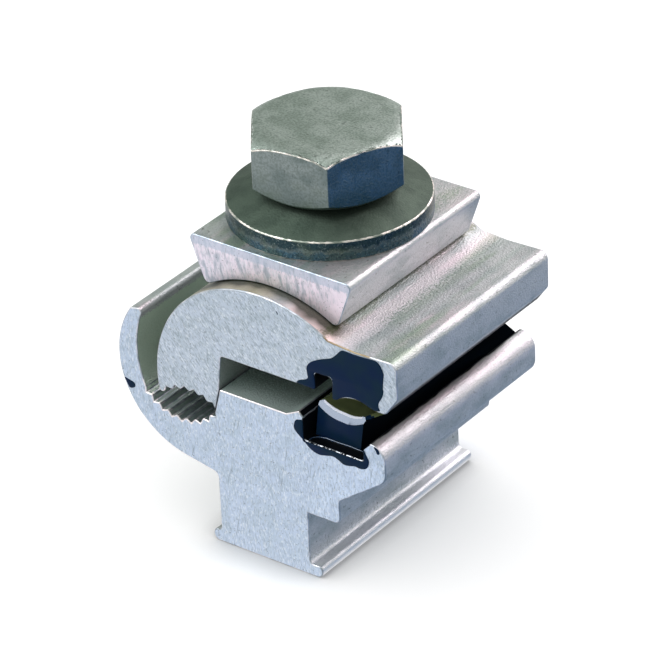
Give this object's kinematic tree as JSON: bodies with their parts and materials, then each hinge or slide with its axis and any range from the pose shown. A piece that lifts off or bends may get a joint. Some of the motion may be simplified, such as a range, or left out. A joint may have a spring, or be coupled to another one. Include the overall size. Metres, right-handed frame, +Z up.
{
  "type": "cable branch clamp",
  "caption": "Bolted aluminium clamp whose grooved jaws join a branch cable to a main cable.",
  "frame": {"origin": "on the bolt's axis, at the middle of the foot's underside", "axes": "+Z up along the bolt towards its head, +Y along both cable grooves, +X towards the main groove"},
  "size_m": [0.0304, 0.023, 0.0386],
  "materials": {
    "jaw_aluminium": "sawn ends and extruded sides",
    "plate_aluminium": "sawn ends and extruded sides",
    "washer_steel": "dark worn spring steel",
    "bolt_steel": "satin forged steel",
    "grease": "wet dark contact grease"
  },
  "bodies": {
    "lower": {"lower_jaw": "jaw_aluminium", "contact_grease": "grease"},
    "saddle": {"pressure_plate": "plate_aluminium", "spring_washer": "washer_steel"},
    "jaw": {"upper_jaw": "jaw_aluminium"},
    "bolt": {"clamp_bolt": "bolt_steel"}
  },
  "joints": [
    {"name": "clamp_travel", "type": "slide", "parent": "lower", "child": "saddle", "axis": [0, 0, 1], "range_m": [0, 0.008]},
    {"name": "bolt_turn", "type": "hinge", "parent": "saddle", "child": "bolt", "pos_m": [0, 0, 0.033], "axis": [0, 0, 1], "range_deg": [0, 2300]},
    {"name": "jaw_tilt", "type": "hinge", "parent": "saddle", "child": "jaw", "pos_m": [0.0006, 0, 0.01385], "axis": [0, 1, 0], "range_deg": [0, 5]}
  ],
  "couplings": [
    {"joint": "clamp_travel", "follows": "bolt_turn", "m_per_rad": 0.00019894}
  ]
}
